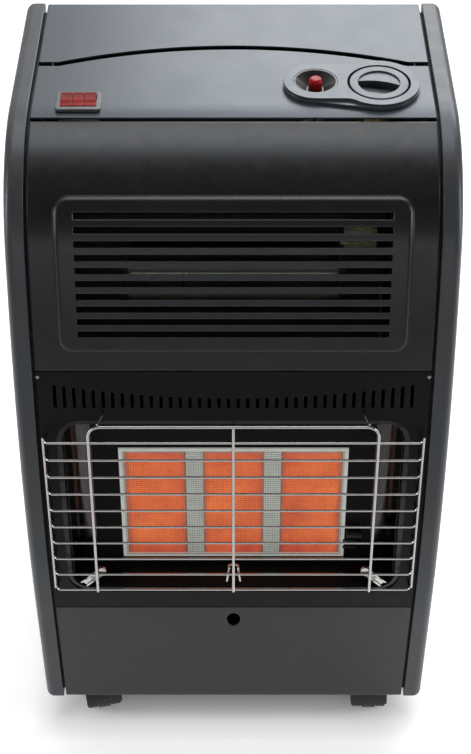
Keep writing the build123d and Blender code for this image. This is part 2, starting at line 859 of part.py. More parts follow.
def burner_plenum(x):
    half, reach = plenum_half()
    low, high = burner_centre - reach, burner_centre + reach
    back = housing_depth + plenum_depth
    box = fire_block(x - half, x + half, low, high, housing_depth, back)
    box += up_tube(x, low - venturi_reach, low + plenum_wall, venturi_depth(), venturi_diameter)
    box -= fire_block(x - half + plenum_wall, x + half - plenum_wall, low + plenum_wall, high - plenum_wall,
                      housing_depth, back - plenum_wall)
    box -= up_tube(x, low - venturi_reach, low + 2 * plenum_wall, venturi_depth(),
                   venturi_diameter - 2 * plenum_wall)
    return box


def manifold_up():
    tube_end = burner_centre - plenum_half()[1] - venturi_reach
    return tube_end - air_gap - injector_length - boss_rise


def gas_manifold():
    """The pipe below the mixing tubes, with a flat boss for each injector."""
    run = manifold_left + manifold_right
    middle = fire * Pos((manifold_right - manifold_left) / 2, manifold_up(), -venturi_depth())
    pipe = middle * Rot(0, 90, 0) * Cylinder(manifold_diameter / 2, run)
    for x in window_places():
        pipe += up_tube(x, manifold_up(), manifold_up() + boss_rise, venturi_depth(),
                        injector_diameter + 2 * plenum_wall)
    pipe -= middle * Rot(0, 90, 0) * Cylinder(manifold_diameter / 2 - 2 * plenum_wall, run)
    return pipe


def gas_injectors():
    injectors = []
    for x in window_places():
        foot = manifold_up() + boss_rise
        body = up_tube(x, foot, foot + injector_length / 2, venturi_depth(), injector_diameter)
        body += up_tube(x, foot, foot + injector_length, venturi_depth(), injector_diameter / 2)
        body -= up_tube(x, foot, foot + injector_length, venturi_depth(), jet_diameter)
        injectors.append(body)
    return injectors


def fire_point(x, up, depth):
    return fire.from_local_coords(Vector(x, up, -depth))


def lane(x, step, top):
    """The way of a pipe or lead from the pilot, round the shield, up to the controls."""
    foot = pilot_foot(step)
    return [
        tuple(foot),
        (pilot_side, behind(lane_setback), foot.Z),
        (x, behind(lane_setback), foot.Z),
        (x, behind(lane_setback), below(shield_shoulder_drop - lane_rise)),
        (x, behind(lane_knee), below(lane_knee_drop)),
        (x, behind(lane_loft), below(lane_loft_drop)),
        *top,
    ]


def pilot_foot(step):
    up = pilot_up - step * pilot_step
    return fire_point(pilot_side, up, housing_depth + pilot_block + running_gap)


def pilot_burner():
    """The pilot's mounting block behind the housing and its hooded tube in front."""
    up = pilot_up
    body = fire_block(pilot_side - pilot_block, pilot_side + pilot_block / 2, up - pilot_block / 2,
                      up + pilot_block / 2, housing_depth, housing_depth + pilot_block)
    neck = Cylinder(pilot_tube / 2, pilot_stand)
    body += fire * Pos(pilot_side, up, -housing_depth + pilot_stand / 2) * neck
    hood = fire * Pos(pilot_side - pilot_hood / 2 + pilot_tube / 2, up, -housing_depth + pilot_stand)
    body += hood * Rot(0, 90, 0) * Cylinder(pilot_tube / 2, pilot_hood)
    return body


def valve_place():
    x, setback = knob_centre
    return x, behind(setback)


def nozzle_height():
    return body_top - valve_drop - valve_height / 2


def gas_pipes():
    """The supply pipe from the valve to the manifold and the thin pipe to the pilot."""
    x, y = valve_place()
    start = fire_point(manifold_right, manifold_up(), venturi_depth())
    height = body_top - valve_drop - valve_height / 2
    supply = wire([
        tuple(start),
        (supply_lane, start.Y, start.Z),
        (supply_lane, behind(supply_setback), start.Z + 2 * manifold_diameter),
        (supply_lane, behind(supply_setback), below(shield_shoulder_drop - lane_rise)),
        (supply_lane, behind(lane_loft), below(supply_loft_drop)),
        (supply_lane, behind(lane_loft), height),
        (supply_lane, y - valve_depth / 2, height),
    ], pipe_diameter, pipe_bend)
    side = x + valve_width / 2
    high = height + pilot_step
    pilot_lane = panel_half - pilot_inset
    way = lane(pilot_lane, 0, [(pilot_lane, y, high), (side, y, high)])
    pilot = wire(way, pilot_pipe_diameter, lead_bend)
    return [supply, pilot]


def thermocouple():
    x, y = valve_place()
    low = nozzle_height() - valve_height / 4 - pilot_step / 2
    tip = pilot_tip(1)
    entry = y - pilot_step
    side = panel_half - thermocouple_inset
    way = lane(side, 1, [(side, entry, low), (x + valve_width / 2, entry, low)])
    return wire(tip + way[1:], lead_diameter, lead_bend)


def ignition_electrode():
    x, setback = button_centre
    high = nozzle_height() + pilot_step
    front = behind(setback) - igniter_diameter / 2
    across_y = behind(lead_cross)
    side = panel_half - ignition_inset
    way = lane(side, 2, [(side, across_y, high), (x, across_y, high), (x, front, high)])
    return wire(pilot_tip(2) + way[1:], lead_diameter, lead_bend)


def pilot_tip(step):
    """The end of a rod in the pilot flame, and its way back through the housing."""
    up = pilot_up - step * pilot_step
    front = housing_depth - pilot_stand
    near = fire_point(pilot_side, up, front)
    return [tuple(fire_point(pilot_side - pilot_hood, up, front)), tuple(near), tuple(pilot_foot(step))]


# ---------------------------------------------------------------- wire guard
def crossbar_heights():
    return [guard_low + place * guard_pitch for place in range(guard_count)]


def guard_crossbars():
    """The level wires, each bent back at both ends into the surround."""
    back = guard_stand - guard_leg
    bars = []
    for up in crossbar_heights():
        points = [(-guard_half, up, back), (-guard_half, up, guard_stand),
                  (guard_half, up, guard_stand), (guard_half, up, back)]
        bars.append(fire * wire(points, crossbar_diameter, guard_bend))
    return bars


def guard_frame():
    """The arched outer wire, the middle upright and the two side uprights behind the bent ends."""
    top = guard_low + guard_count * guard_pitch
    foot = guard_low
    stand = guard_frame_stand
    arch = wire([(-guard_frame_half, foot, stand), (-guard_frame_half, top, stand),
                 (guard_frame_half, top, stand), (guard_frame_half, foot, stand)],
                guard_wire_diameter, guard_frame_bend)
    upright = wire([(0, foot, stand), (0, top - guard_wire_diameter / 2, stand)], guard_wire_diameter, 0)
    pieces = [arch, upright]
    side_x = guard_half + crossbar_diameter + touch
    for side in (-1, 1):
        ends = (guard_low - crossbar_diameter, top - guard_pitch + crossbar_diameter)
        pieces.append(wire([(side * side_x, end, side_upright_stand) for end in ends], crossbar_diameter, 0))
    return [fire * piece for piece in pieces]


def hook_place():
    """Where a hook's foot goes into the surround: to the side, and up the opening's leaning frame."""
    return guard_frame_half - hook_foot[0], opening_height / 2 + hook_foot[1]


def guard_fixings():
    """Two hooks at the top, a spring clip in the middle below and a strap in each lower corner."""
    top = guard_low + guard_count * guard_pitch
    pieces = []
    for side in (-1, 1):
        head_up = top + guard_wire_diameter / 2 + crossbar_diameter / 2
        head = (side * (guard_frame_half - hook_head), head_up, guard_frame_stand)
        foot_x, foot_up = hook_place()
        foot = (side * foot_x, foot_up, -hook_reach)
        bend = (side * foot_x, foot_up, 0)
        pieces.append(wire([head, bend, foot], crossbar_diameter, hook_bend))
    clip_top = guard_low + guard_pitch + clip_over
    clip_low = clip_top - clip_height
    clip_stand = guard_stand - crossbar_diameter - touch
    clip_head = clip_half - clip_lean
    clip = [(-clip_half, clip_low, clip_stand), (-clip_head, clip_top, clip_stand),
            (-clip_head, clip_top, clip_stand - clip_reach), (clip_head, clip_top, clip_stand - clip_reach),
            (clip_head, clip_top, clip_stand), (clip_half, clip_low, clip_stand)]
    pieces.append(wire(clip, crossbar_diameter, clip_bend))
    corner = Vector(opening_width / 2, -opening_height / 2)
    head = corner + Vector(-strap_head[0], strap_head[1])
    foot = corner + Vector(-strap_foot[0], strap_foot[1])
    for side in (-1, 1):
        run = Vector(side * (head.X - foot.X), head.Y - foot.Y, strap_dip)
        middle = Vector(side * (head.X + foot.X) / 2, (head.Y + foot.Y) / 2,
                        guard_stand - (crossbar_diameter + strap_lip + strap_dip) / 2 - touch)
        plane = Plane(origin=middle, x_dir=run, z_dir=run.cross(Vector(-run.Y, run.X, 0)))
        strap = Box(run.length, strap_width, strap_lip)
        strap -= Pos(0, 0, strap_sheet) * Box(run.length, strap_width - 2 * strap_sheet, strap_lip)
        strap = plane * strap
        stud_height = guard_stand - crossbar_diameter / 2 - strap_sheet - touch
        stud = Cylinder(strap_width / 2, 2 * strap_sheet)
        stud = Pos(side * head.X, head.Y, stud_height) * stud
        pieces.append(strap + stud)
    return [fire * piece for piece in pieces]


# ---------------------------------------------------------------- controls
def control_bezel():
    """The two-level plate round the button and the knob."""
    a = (button_centre[0], behind(button_centre[1]))
    b = (knob_centre[0], behind(knob_centre[1]))
    lower = make_hull((Pos(*a) * Circle(button_lobe)).edges() + (Pos(*b) * Circle(knob_lobe)).edges())
    step = bezel_level / 3
    reach = button_lobe - step
    upper = Pos(*a) * Circle(reach)
    upper += Pos(*b) * Circle(knob_lobe - step)
    upper += Pos((a[0] + b[0]) / 2, a[1]) * Rectangle(b[0] - a[0], 2 * reach)
    notches = [corner for corner in upper.vertices()
               if abs(abs(corner.Y - a[1]) - reach) < touch and corner.X > a[0] + waist_round]
    upper = fillet(notches, waist_round)
    bezel = Pos(0, 0, skin_top) * extrude(lower, amount=bezel_level)
    bezel += Pos(0, 0, skin_top + bezel_level) * extrude(upper, amount=bezel_level)
    for (x, y), diameter in ((a, cup_hole_diameter), (b, knob_diameter + 2 * bezel_gap)):
        bezel -= post(x, y, skin_top, skin_top + 2 * bezel_level, diameter)
    return bezel


def knob_top():
    return skin_top + 2 * bezel_level


def control_knob():
    """The gas knob: a disc with a finger recess, whose floor slopes down to a curved wall."""
    x, y = valve_place()
    top = knob_top()
    knob = post(x, y, top - knob_height, top, knob_diameter)
    knob = fillet(knob.faces().sort_by(Axis.Z)[-1].edges(), knob_edge)
    knob += post(x, y, top - knob_height - knob_boss, top - knob_height, 2 * spindle_diameter)
    well = Cylinder(knob_recess_diameter / 2, 4 * knob_recess_depth)
    reach = knob_recess_diameter / 2
    ramp = make_face(Polyline((-reach, 0), (knob_wall_bow, -knob_recess_depth), (reach, -knob_recess_depth),
                              (reach, knob_recess_depth), (-reach, knob_recess_depth), close=True))
    ramp = Rot(0, 0, -knob_wall_turn) * side_on(ramp, reach)
    front = Pos(*knob_wall_centre, 0) * Cylinder(knob_wall_radius, 4 * knob_recess_depth)
    shelf = Pos(0, 0, 2 * knob_recess_depth - knob_shelf_depth) * well
    knob -= Pos(x, y, top) * (shelf + (well & ramp & front))
    socket_low = top - knob_height - knob_boss
    return knob - post(x, y, socket_low, socket_low + knob_socket, spindle_diameter + 2 * pin_clearance)


def valve_top():
    return body_top - valve_drop


def valve_body():
    x, y = valve_place()
    top = valve_top()
    body = block(x - valve_width / 2, x + valve_width / 2, y - valve_depth / 2, y + valve_depth / 2,
                 top - valve_height, top)
    body = chamfer(body.edges().filter_by(Axis.Z), 3 * bracket_sheet)
    depth = plunger_length + plunger_sink + knob_travel + bracket_sheet
    return body - post(x, y, top - depth, top, plunger_diameter + 2 * pin_clearance)


def valve_plunger():
    x, y = valve_place()
    high = valve_top() - plunger_sink
    return post(x, y, high - plunger_length, high, plunger_diameter)


def valve_spindle():
    x, y = valve_place()
    high = knob_top() - knob_height - knob_boss + knob_socket - running_gap
    return post(x, y, valve_top() - plunger_sink, high, spindle_diameter)


def gas_brackets():
    """The bridge under the fascia that carries the valve, and the strap that carries the manifold."""
    x, y = valve_place()
    low = valve_top()
    half = bridge_half
    bridge = block(x - half, x + half, y - valve_depth / 2, y + valve_depth / 2, low, skin_under)
    bridge -= block(x - half + bracket_sheet, x + half - bracket_sheet, y - valve_depth, y + valve_depth,
                    low + bracket_sheet, skin_under)
    bridge -= post(x, y, low, low + bracket_sheet, plunger_diameter + bracket_sheet)
    half_plenum = plenum_half()[0]
    left = half_plenum + running_gap
    right = window_pitch - half_plenum - running_gap
    up = manifold_up()
    near = venturi_depth() - manifold_diameter / 2 - touch
    back = housing_depth + bracket_sheet
    strap = fire_block(left, right, up - bracket_sheet, burner_centre, housing_depth, back)
    strap += fire_block(left, right, up - bracket_sheet, up + bracket_sheet, housing_depth, near)
    return [bridge, strap]


def gas_inlet_nozzle():
    """The hose tail behind the valve: a nut and a barbed tube with a bore."""
    x, y = valve_place()
    start = y + valve_depth / 2
    place = Pos(x, start, nozzle_height()) * Rot(-90, 0, 0)
    nozzle = extrude(RegularPolygon(nozzle_nut / 2, 6), amount=nozzle_nut_length)
    nozzle += Pos(0, 0, nozzle_length / 2) * Cylinder(nozzle_diameter / 2, nozzle_length)
    for barb in range(barb_count):
        high = nozzle_length - barb * barb_pitch
        nozzle += Pos(0, 0, high - barb_pitch / 2) * Cone(
            nozzle_diameter / 2 + barb_rise, nozzle_diameter / 2, barb_pitch)
    nozzle -= Pos(0, 0, nozzle_length / 2) * Cylinder(nozzle_diameter / 4, nozzle_length)
    return place * nozzle


def igniter_cup():
    """The black dish round the button."""
    x, y = button_centre[0], behind(button_centre[1])
    high = knob_top() - running_gap
    low = high - cup_depth - cup_wall
    cup = post(x, y, low, high, cup_hole_diameter - 2 * running_gap)
    dish = Cone(button_diameter / 2 + cup_wall, cup_hole_diameter / 2 - running_gap - cup_wall, cup_depth)
    cup -= Pos(x, y, high - cup_depth / 2) * dish
    return cup - post(x, y, low, high, button_diameter + 2 * running_gap)


def cup_floor():
    return knob_top() - running_gap - cup_depth - cup_wall


def igniter_button():
    x, y = button_centre[0], behind(button_centre[1])
    high = body_top + button_top
    button = post(x, y, high - button_length, high, button_diameter)
    return fillet(button.faces().sort_by(Axis.Z)[-1].edges(), button_diameter / 4)


def igniter_body():
    x, y = button_centre[0], behind(button_centre[1])
    high = cup_floor()
    body = post(x, y, high - igniter_length, high, igniter_diameter)
    bore_floor = body_top + button_top - button_length - button_travel - cup_wall
    return body - post(x, y, bore_floor, high, button_diameter + 2 * running_gap)


def rocker_block_width():
    count = len(rocker_names)
    return count * rocker_width + (count + 1) * rocker_gap


def pivot_height():
    return skin_top + pivot_rise


def switch_place():
    x, setback = switch_centre
    return x, behind(setback)


def switch_bezel():
    """The raised frame round the rockers, with a collar down through the fascia."""
    x, y = switch_place()
    rim = RectangleRounded(switch_width, switch_depth, switch_corner)
    bezel = Pos(x, y, skin_top) * extrude(rim, amount=switch_rise)
    bezel = fillet(bezel.faces().sort_by(Axis.Z)[-1].edges(), switch_rise / 4)
    half_x = rocker_block_width() / 2
    half_y = rocker_window / 2
    low = skin_under - collar_drop
    bezel += block(x - half_x - switch_wall, x + half_x + switch_wall, y - half_y - switch_wall,
                   y + half_y + switch_wall, low, skin_top + switch_rise / 2)
    bezel -= block(x - half_x, x + half_x, y - half_y, y + half_y, low, skin_top + switch_rise)
    return bezel - Pos(x, y, pivot_height()) * Rot(0, 90, 0) * Cylinder(
        rocker_pin_diameter / 2, rocker_block_width() + switch_wall)


def rocker_pin():
    x, y = switch_place()
    length = rocker_block_width() + switch_wall
    return Pos(x, y, pivot_height()) * Rot(0, 90, 0) * Cylinder(rocker_pin_diameter / 2, length)


def switch_rocker(place):
    """A rocker with a dished top, at rest with its rear end up."""
    x, y = switch_place()
    low = rocker_lift - rocker_dip
    dish = ThreePointArc((-rocker_half, rocker_lift), (0, low), (rocker_half, rocker_lift))
    foot = rocker_half / 3
    knee = rocker_half - rocker_dip / 2
    sides = Polyline((rocker_half, rocker_lift), (knee, -rocker_lift), (foot, -rocker_drop),
                     (-foot, -rocker_drop), (-knee, -rocker_lift), (-rocker_half, rocker_lift))
    rocker = side_on(make_face(dish + sides), rocker_width / 2)
    rocker = fillet(rocker.edges().filter_by(Axis.X).group_by(Axis.Z)[-1], rocker_edge)
    rocker -= Rot(0, 90, 0) * Cylinder(rocker_pin_diameter / 2 + pin_clearance, 2 * rocker_width)
    shift = (place - 1) * (rocker_width + rocker_gap)
    return Pos(x + shift, y, pivot_height()) * Rot(rocker_tilt, 0, 0) * rocker


def switch_body():
    """The block of three switches below the collar, with its terminals."""
    x, y = switch_place()
    half_x = rocker_block_width() / 2 + switch_wall
    half_y = rocker_window / 2 + switch_wall
    high = skin_under - collar_drop
    low = high - switch_body_height
    body = block(x - half_x, x + half_x, y - half_y, y + half_y, low, high)
    for column in range(len(rocker_names)):
        for row in (-1, 0, 1):
            tab_x = x + (column - 1) * (rocker_width + rocker_gap)
            tab_y = y + row * rocker_half * 2 / 3
            body += block(tab_x - switch_tab_width / 2, tab_x + switch_tab_width / 2,
                          tab_y - switch_tab_sheet / 2, tab_y + switch_tab_sheet / 2,
                          low - terminal_drop, low)
    return body


# ---------------------------------------------------------------- electric element
element = front_plane(behind(element_setback), below(element_drop), math.radians(element_lean))


def quartz_tubes():
    tubes = []
    for side in (-1, 1):
        place = element * Pos(0, side * tube_pitch / 2, 0) * Rot(0, 90, 0)
        tube = Cylinder(tube_diameter / 2, 2 * element_half)
        tube -= Cylinder(tube_diameter / 2 - tube_wall, 2 * element_half)
        tubes.append(place * tube)
    return tubes


def electric_reflector():
    points = [(-trough_half, trough_rise - reflector_setback), (-trough_flat, -reflector_setback),
              (trough_flat, -reflector_setback), (trough_half, trough_rise - reflector_setback)]
    return element * folded_sheet(points, trough_sheet, trough_bend, element_half)


def element_brackets():
    """The two end plates that hold the tubes and the trough and stand on the shield."""
    outline = [(behind(setback), below(drop)) for setback, drop in end_bracket_top]
    outline += [(behind(setback), shield_slope(setback)) for setback in end_bracket_foot]
    plate = extrude(Plane.YZ * make_face(Polyline(*outline, close=True)), amount=end_bracket_sheet)
    plate = Pos(element_half + touch, 0, 0) * plate
    for side in (-1, 1):
        cap = element * Pos(element_half + touch + cap_reach / 2, side * tube_pitch / 2, 0)
        plate += cap * Rot(0, 90, 0) * Cylinder(tube_diameter / 2 + cap_wall, cap_reach)
    return [plate, mirror(plate, about=Plane.YZ)]


def terminal_block():
    back = behind(shield_step[0]) - shield_sheet
    front = back - terminal_depth
    high = below(terminal_block_drop)
    body = block(terminal_left, terminal_left + terminal_width, front, back, high - terminal_height, high)
    for screw in range(terminal_count):
        x = terminal_left + (screw + 0.5) * terminal_width / terminal_count
        z = high - terminal_height / 2
        body -= Pos(x, front, z) * Rot(90, 0, 0) * Cylinder(terminal_hole / 2, terminal_depth)
    return body


def earth_lead():
    """The yellow and green lead from the element's end plate to the terminal block."""
    y = behind(earth_setback)
    low, high = below(earth_start_drop), below(earth_loop_drop)
    side = element_half + earth_reach
    entry = terminal_left + earth_bend
    points = [(element_half + end_bracket_sheet + touch, y, low), (side, y, low), (side, y, high),
              (entry, y, high), (entry, y + 2 * earth_bend, high),
              (entry, y + 2 * earth_bend, below(terminal_block_drop))]
    return wire(points, earth_diameter, earth_bend / 2)


# ---------------------------------------------------------------- castors
def castor_ground():
    return wheel_diameter / 2


def castor_place(name):
    x = cabinet_width / 2 - castor_side
    y = behind(castor_front) if "front" in name else back_y - castor_back
    return (-x if "left" in name else x), y


def place_castor(name, piece):
    return Pos(*castor_place(name), 0) * Rot(0, 0, castor_degrees[name]) * piece


def castor_mounts():
    """A plate and a kingpin for each castor, below the base tray."""
    top = skin_low + running_gap
    plate = Pos(0, 0, top - castor_plate_sheet / 2) * Box(castor_plate, castor_plate, castor_plate_sheet)
    pin_top = top - castor_plate_sheet
    pin = post(0, 0, pin_top - kingpin_length, pin_top, kingpin_diameter)
    pieces = []
    for name in castor_degrees:
        pieces += [Pos(*castor_place(name), 0) * piece for piece in (plate, pin)]
    return pieces


def castor_hood(name):
    """The swivelling body: a middle web with the kingpin's socket, and a hood over both wheels."""
    axle = Pos(0, -castor_trail, castor_ground()) * Rot(0, 90, 0)
    radius = wheel_diameter / 2 + hood_gap
    top = skin_low + running_gap - castor_plate_sheet - running_gap
    web = axle * Cylinder(radius, 2 * web_half)
    web -= block(-hood_width, hood_width, -2 * castor_trail - radius, castor_trail, -radius, hood_gap)
    web += post(0, 0, castor_ground() - axle_diameter, top, boss_diameter)
    hood = axle * Cylinder(radius + hood_wall, hood_width)
    hood -= axle * Cylinder(radius, hood_width)
    hood -= block(-hood_width, hood_width, -castor_trail - 2 * radius, castor_trail + radius,
                  -radius, castor_ground() + axle_diameter / 2)
    body = web + hood
    body -= axle * Cylinder(axle_diameter / 2 + pin_clearance, hood_width)
    pin_low = top + running_gap - kingpin_length - running_gap
    body -= post(0, 0, pin_low, top, kingpin_diameter + 2 * pin_clearance)
    return place_castor(name, body)


def castor_wheels(name):
    """A pair of wheels pressed on one axle."""
    axle = Pos(0, -castor_trail, castor_ground()) * Rot(0, 90, 0)
    pieces = [axle * Cylinder(axle_diameter / 2, 2 * (wheel_inner + wheel_width) - wheel_width / 2)]
    for side in (-1, 1):
        wheel = Cylinder(wheel_diameter / 2, wheel_width)
        wheel = fillet(wheel.edges(), wheel_edge)
        wheel -= Cylinder(axle_diameter / 2, wheel_width)
        pieces.append(axle * Pos(0, 0, side * (wheel_inner + wheel_width / 2)) * wheel)
    return [place_castor(name, piece) for piece in pieces]


# ---------------------------------------------------------------- all nodes
def nodes():
    parts = {
        "left_side_panel": side_panel(-1),
        "right_side_panel": side_panel(1),
        "side_liners": side_liners(),
        "control_fascia": control_fascia(),
        "top_lid": top_lid(),
        "upper_front_panel": upper_front_panel(),
        "lower_surround": lower_surround(),
        "lower_front_panel": lower_front_panel(),
        "panel_screws": panel_screws(),
        "base_tray": base_tray(),
        "heat_shield": heat_shield(),
        "rear_cover": rear_cover(),
        "opening_trim": opening_trim(),
        "side_reflectors": side_reflectors(),
        "burner_housing": burner_housing(),
        "burner_frame": burner_frame(),
        "burner_plenums": burner_plenums(),
        "gas_manifold": gas_manifold(),
        "gas_injectors": gas_injectors(),
        "gas_brackets": gas_brackets(),
        "pilot_burner": pilot_burner(),
        "thermocouple": thermocouple(),
        "ignition_electrode": ignition_electrode(),
        "gas_pipes": gas_pipes(),
        "guard_crossbars": guard_crossbars(),
        "guard_frame": guard_frame(),
        "guard_fixings": guard_fixings(),
        "control_bezel": control_bezel(),
        "control_knob": control_knob(),
        "valve_spindle": valve_spindle(),
        "valve_plunger": valve_plunger(),
        "valve_body": valve_body(),
        "gas_inlet_nozzle": gas_inlet_nozzle(),
        "igniter_cup": igniter_cup(),
        "igniter_button": igniter_button(),
        "igniter_body": igniter_body(),
        "switch_bezel": switch_bezel(),
        "rocker_pin": rocker_pin(),
        "switch_body": switch_body(),
        "quartz_tubes": quartz_tubes(),
        "electric_reflector": electric_reflector(),
        "element_brackets": element_brackets(),
        "terminal_block": terminal_block(),
        "earth_lead": earth_lead(),
        "castor_mounts": castor_mounts(),
    }
    for name, x in zip(burner_names, window_places()):
        parts[f"ceramic_plaque_{name}"] = ceramic_plaque(x)
    for place, name in enumerate(rocker_names):
        parts[f"switch_rocker_{name}"] = switch_rocker(place)
    for name in castor_degrees:
        parts[f"castor_hood_{name}"] = castor_hood(name)
        parts[f"castor_wheels_{name}"] = castor_wheels(name)
    return parts


def main():
    os.makedirs("parts", exist_ok=True)
    for name, shape in nodes().items():
        pieces = shape if isinstance(shape, list) else [shape]
        solids = [solid for piece in pieces for solid in piece.solids()]
        whole = Compound(children=solids) if len(solids) > 1 else solids[0]
        export_step(whole, f"parts/{name}.step")


if __name__ == "__main__":
    main()
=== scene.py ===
import math

import bmesh
import bpy
from mathutils import Matrix, Vector


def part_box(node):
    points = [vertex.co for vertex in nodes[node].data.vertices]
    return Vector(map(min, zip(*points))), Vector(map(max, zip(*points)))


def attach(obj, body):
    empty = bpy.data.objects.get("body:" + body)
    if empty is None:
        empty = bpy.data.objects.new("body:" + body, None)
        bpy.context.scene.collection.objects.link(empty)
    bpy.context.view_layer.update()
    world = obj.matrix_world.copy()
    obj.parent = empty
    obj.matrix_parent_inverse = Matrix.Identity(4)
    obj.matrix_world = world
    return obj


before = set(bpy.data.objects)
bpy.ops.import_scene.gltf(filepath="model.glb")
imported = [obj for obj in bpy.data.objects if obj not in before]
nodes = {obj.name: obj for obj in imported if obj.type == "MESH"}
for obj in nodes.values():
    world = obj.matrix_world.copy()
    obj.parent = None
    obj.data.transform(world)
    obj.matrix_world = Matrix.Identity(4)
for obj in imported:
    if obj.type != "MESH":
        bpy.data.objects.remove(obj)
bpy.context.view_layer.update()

# ------------------------------------------------------------------ named values, in metres
# shared with the model
FRONT_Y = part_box("left_side_panel")[0].y
BODY_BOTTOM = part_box("left_side_panel")[0].z
FRONT_RADIUS = 1.250  # the bowed front, seen from the side
BELLY_HEIGHT = 0.160  # where the bow starts, above the body's underside
FIRE_HEIGHT = 0.305  # middle of the fire opening, above the body's underside
FIRE_LEAN = math.asin((FIRE_HEIGHT - BELLY_HEIGHT) / FRONT_RADIUS)
FIRE_SETBACK = FRONT_RADIUS * (1 - math.cos(FIRE_LEAN))

# on the leaning fire plane
BURNER_CENTRE = -0.0242
BURNER_HALF = (0.119, 0.0746)
FRAME_DEPTH = 0.044
PLAQUE_PITCH = 0.0815
PLAQUE_SIDE_FADE = (0.026, 0.0325)  # from a plaque's middle, where its glow falls off sideways
PLAQUE_END_FADE = (0.046, 0.072)  # the same, up and down
PLAQUE_LEAN = (-0.03, 0.03)  # across a plaque, from one side's brightness to the other's

# the burner's wire mesh
MESH_PITCH = 0.0026
MESH_RADIUS = 0.0003
MESH_SIDES = 4
MESH_STAND = 0.0006  # in front of the burner frame
MESH_INSET = (0.0035, 0.0028)
WIRE_SIDE_FADE = (0.0095, 0.0125)  # from the middle of a bar of the frame, bare metal to glowing
WIRE_END_FADE = (0.066, 0.071)  # from the burner's middle, glowing to bare metal

# finishes
BEVEL_SAMPLES = 4
EDGE_WIDTH = 0.0012
EDGE_TURN = (0.01, 0.12)  # how far the rounded normal leaves the flat one where an edge is painted paler
SMEAR_SCALE = 5  # the smears that vary the gloss are this much finer than the blotches
GRAIN_DEPTH = 0.00005
MIX_FACTOR, MIX_FIRST, MIX_SECOND, MIX_RESULT = 0, 6, 7, 2  # a colour mix node's sockets

# floor
FLOOR_HALF = 6.0
FLOOR_CELLS = 4
FLOOR_PLACE = (0, 1.5, -0.0005)
FOOTPRINT_HALF = (0.205, 0.185)
FLOOR_LIFT = 0.52
SHADOW_FADE = (-0.045, 0.035)  # from the footprint's edge, where the lift comes in; the darker band left round the footprint is partly a painted shadow
NEAR_FADE = (-0.75, -0.38)  # along Y in front of the heater, where the lift comes in

# world
WHITE_DIRECTION = (0.0, 0.73, 0.68)
WHITE_FADE = (0.45, 0.85)  # cosine of the angle from that direction
DIM_LEVEL = 0.10
LIT_SHARE = 0.6  # of the world's level, for light that no mirror or camera sees

# the photograph's camera
PHOTO_HEIGHT = 754.0
FOCAL_PIXELS = 1600.0
SENSOR_WIDTH = 36.0
CAMERA_X = 0.0021
CAMERA_AHEAD = 1.0987  # in front of the side panels
CAMERA_ABOVE = 1.5262  # above the body's underside
CAMERA_DOWN = 42.913  # degrees below the horizon
CLIP_RANGE = (0.05, 50.0)


def fire_matrix():
    """The leaning frame of the fire opening: x across, y up the front, z outwards."""
    x = Vector((1, 0, 0))
    z = Vector((0, -math.cos(FIRE_LEAN), math.sin(FIRE_LEAN)))
    y = z.cross(x)
    place = Matrix((x, y, z)).transposed().to_4x4()
    place.translation = Vector((0, FRONT_Y + FIRE_SETBACK, BODY_BOTTOM + FIRE_HEIGHT))
    return place


FIRE = fire_matrix()


# ------------------------------------------------------------------ material helpers
def node(tree, kind, **values):
    made = tree.nodes.new(kind)
    for key, value in values.items():
        setattr(made, key, value)
    return made


def new_material(name):
    mat = bpy.data.materials.new(name)
    mat.use_nodes = True
    tree = mat.node_tree
    tree.nodes.clear()
    out = node(tree, "ShaderNodeOutputMaterial")
    shader = node(tree, "ShaderNodeBsdfPrincipled")
    tree.links.new(shader.outputs[0], out.inputs["Surface"])
    return mat, tree, shader


def noise(tree, scale, detail=3.0, rough=0.55, stretch=None):
    coord = node(tree, "ShaderNodeTexCoord")
    made = node(tree, "ShaderNodeTexNoise")
    made.inputs["Scale"].default_value = scale
    made.inputs["Detail"].default_value = detail
    made.inputs["Roughness"].default_value = rough
    source = coord.outputs["Object"]
    if stretch:
        mapping = node(tree, "ShaderNodeMapping")
        mapping.inputs["Scale"].default_value = stretch
        tree.links.new(source, mapping.inputs["Vector"])
        source = mapping.outputs["Vector"]
    tree.links.new(source, made.inputs["Vector"])
    return made.outputs["Fac"]


def spread(tree, value, low, high, start=0.3, end=0.7):
    """The value's range from start to end, stretched to run from low to high."""
    made = node(tree, "ShaderNodeMapRange")
    made.inputs["From Min"].default_value = start
    made.inputs["From Max"].default_value = end
    made.inputs["To Min"].default_value = low
    made.inputs["To Max"].default_value = high
    tree.links.new(value, made.inputs["Value"])
    return made.outputs["Result"]


def mix_colour(tree, factor, first, second, blend_type="MIX"):
    made = node(tree, "ShaderNodeMix", data_type="RGBA", blend_type=blend_type)
    for value, socket in ((factor, MIX_FACTOR), (first, MIX_FIRST), (second, MIX_SECOND)):
        if isinstance(value, bpy.types.NodeSocket):
            tree.links.new(value, made.inputs[socket])
        elif socket == MIX_FACTOR:
            made.inputs[socket].default_value = value
        else:
            made.inputs[socket].default_value = (*value, 1.0)
    return made.outputs[MIX_RESULT]


def maths(tree, kind, first, second=None, clamp=False):
    made = node(tree, "ShaderNodeMath", operation=kind, use_clamp=clamp)
    for value, socket in ((first, 0), (second, 1)):
        if value is None:
            continue
        if isinstance(value, bpy.types.NodeSocket):
            tree.links.new(value, made.inputs[socket])
        else:
            made.inputs[socket].default_value = value
    return made.outputs[0]


def away_from(tree, value, middle):
    return maths(tree, "ABSOLUTE", maths(tree, "SUBTRACT", value, middle))


def axes(tree, vector):
    split = node(tree, "ShaderNodeSeparateXYZ")
    tree.links.new(vector, split.inputs[0])
    return split.outputs


def mirrored_ray(tree, path):
    return maths(tree, "MAXIMUM", path.outputs["Is Glossy Ray"],
                 path.outputs["Is Transmission Ray"])


def bevel_normal(tree, radius):
    bevel = node(tree, "ShaderNodeBevel", samples=BEVEL_SAMPLES)
    bevel.inputs["Radius"].default_value = radius
    return bevel.outputs[0]


